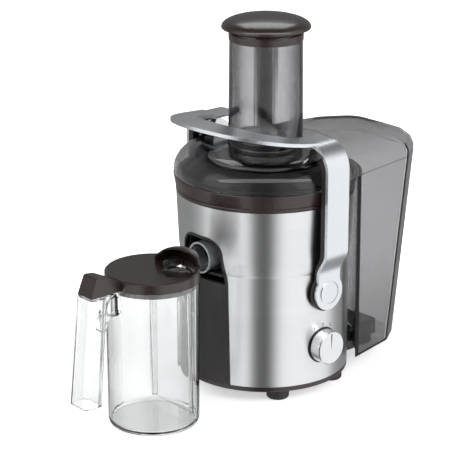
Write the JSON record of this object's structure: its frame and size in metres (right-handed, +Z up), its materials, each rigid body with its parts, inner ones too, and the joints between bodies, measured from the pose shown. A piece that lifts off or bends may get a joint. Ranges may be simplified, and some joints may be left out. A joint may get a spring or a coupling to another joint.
{
  "type": "centrifugal juicer",
  "caption": "Centrifugal juicer: steel drum body, locking arm over a clear lid with wide feed chute, pulp bin behind, clear juice jug in front.",
  "frame": {"origin": "middle of the whole set's outline on the table top", "axes": "+Z up from the table, +X to the side with the speed knob, -Y to the front where the jug stands"},
  "size_m": [0.2356, 0.4873, 0.4269],
  "materials": {
    "brushed_steel": "brushed round the drum",
    "dark_plastic": "fine moulded grain",
    "brown_plastic": "satin, dark brown",
    "black_plastic": "satin, near black",
    "rubber_feet": "soft matt",
    "zinc_steel": "zinc plated",
    "lamination_steel": "stacked sheet edges",
    "copper_wire": "enamelled copper",
    "cast_aluminium": "as cast",
    "soft_rubber": "moulded",
    "phenolic_plastic": "moulded phenolic",
    "clear_grey_plastic": "clear grey plastic, polished",
    "ground_steel": "ground",
    "stainless_sheet": "pressed and etched sheet",
    "smoke_plastic": "smoke tinted clear plastic, polished",
    "polished_aluminium": "satin polished",
    "metallised_knob": "spun face, plated plastic",
    "clear_plastic": "clear plastic, polished"
  },
  "bodies": {
    "base": {"body_skin": "brushed_steel", "chassis_left": "dark_plastic", "chassis_right": "dark_plastic", "shell_left": "dark_plastic", "shell_right": "dark_plastic", "base_ring": "brown_plastic", "base_plate": "black_plastic", "feet": "rubber_feet", "foot_screws": "zinc_steel", "front_panel": "black_plastic", "arch_trim": "brown_plastic", "motor_stator": "lamination_steel", "motor_windings": "copper_wire", "motor_top_bracket": "cast_aluminium", "motor_foot_bracket": "cast_aluminium", "rubber_mounts": "soft_rubber", "upper_bearing": "zinc_steel", "lower_bearing": "zinc_steel", "brush_holders": "phenolic_plastic", "speed_switch": "dark_plastic", "knob_bezel": "brown_plastic", "lock_switch": "dark_plastic", "cord_gland": "soft_rubber", "pivot_brackets": "dark_plastic", "bin_ledge": "black_plastic", "deck": "dark_plastic", "bowl": "black_plastic", "bowl_sleeve": "black_plastic", "pulp_ring": "black_plastic", "bowl_seal": "soft_rubber", "collar": "brown_plastic", "collar_foot": "brown_plastic", "spout": "clear_grey_plastic", "spout_seal": "soft_rubber"},
    "drive": {"motor_shaft": "ground_steel", "rotor": "lamination_steel", "commutator": "copper_wire", "cooling_fan": "dark_plastic", "drive_coupling": "cast_aluminium", "basket_hub": "black_plastic", "mesh_cone": "stainless_sheet", "basket_rim": "stainless_sheet", "grater_disc": "stainless_sheet", "clamp_nut": "ground_steel"},
    "lid": {"lid_cover": "smoke_plastic", "feed_chute": "smoke_plastic", "feed_throat": "black_plastic", "chute_rim": "brown_plastic"},
    "pusher": {"pusher_tube": "clear_grey_plastic", "pusher_cap": "brown_plastic"},
    "arm": {"arm_strap": "polished_aluminium", "arm_liners": "brown_plastic", "arm_hooks": "black_plastic", "pivot_buttons": "polished_aluminium", "pivot_pins": "ground_steel"},
    "knob": {"speed_knob": "metallised_knob"},
    "bin": {"pulp_bin": "smoke_plastic"},
    "jug_body": {"jug": "clear_plastic"},
    "jug_top": {"jug_lid": "brown_plastic", "froth_separator": "clear_plastic"}
  },
  "joints": [
    {"name": "drive_spin", "type": "hinge", "parent": "base", "child": "drive", "pos_m": [0, 0.04785, 0.15], "axis": [0, 0, 1], "continuous": true},
    {"name": "arm_swing", "type": "hinge", "parent": "base", "child": "arm", "pos_m": [0, 0.04785, 0.126], "axis": [1, 0, 0], "range_deg": [0, 35]},
    {"name": "lid_lift", "type": "slide", "parent": "base", "child": "lid", "axis": [0, 0, 1], "range_m": [0, 0.0165]},
    {"name": "pusher_lift", "type": "slide", "parent": "lid", "child": "pusher", "axis": [0, 0, 1], "range_m": [0, 0.12]},
    {"name": "knob_turn", "type": "hinge", "parent": "base", "child": "knob", "pos_m": [0.1, 0.04785, 0.0605], "axis": [1, 0, 0], "range_deg": [-30, 30]},
    {"name": "bin_pull", "type": "slide", "parent": "base", "child": "bin", "axis": [0, 1, 0], "range_m": [0, 0.15]},
    {"name": "jug_slide", "type": "slide", "parent": "base", "child": "jug_body", "axis": [0, -1, 0], "range_m": [0, 0.12]},
    {"name": "jug_lid_lift", "type": "slide", "parent": "jug_body", "child": "jug_top", "axis": [0, 0, 1], "range_m": [0, 0.06]}
  ],
  "couplings": [
    {"joint": "lid_lift", "follows": "arm_swing", "m_per_rad": 0.02619}
  ]
}
